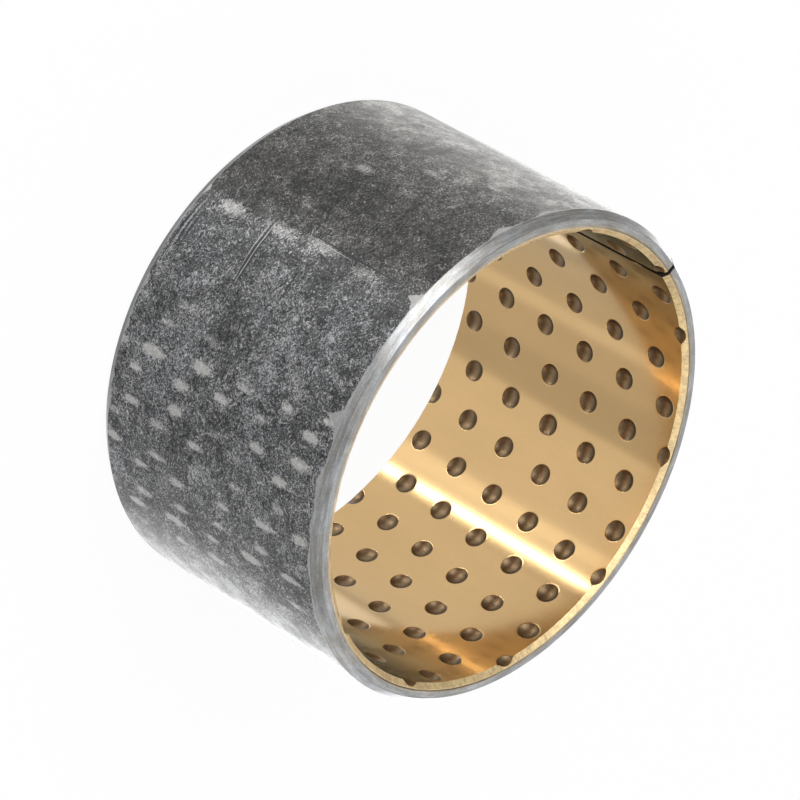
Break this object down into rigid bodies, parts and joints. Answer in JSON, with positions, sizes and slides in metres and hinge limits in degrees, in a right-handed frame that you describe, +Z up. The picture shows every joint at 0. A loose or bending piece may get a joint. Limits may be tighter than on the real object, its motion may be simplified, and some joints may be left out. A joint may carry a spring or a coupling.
{
  "type": "wrapped plain bushing",
  "caption": "Split, rolled plain bushing: a steel backing lined with bronze, its bore covered in oblique rows of ball-dimple grease pockets, both ends chamfered.",
  "frame": {"origin": "centre of the lower end face, on the surface that the bushing stands on", "axes": "+Z up along the bushing's axis, towards the end that the picture shows; +X from the axis through the seam between the strip's ends"},
  "size_m": [0.06, 0.06, 0.036],
  "materials": {
    "steel": "rolled mild steel with a dark mottled patina, turned bright at the chamfers and ends",
    "bronze": "satin leaded bronze, rolled smooth, with pressed dimples"
  },
  "bodies": {
    "root": {"steel_backing": "steel", "bronze_lining": "bronze"}
  },
  "joints": []
}
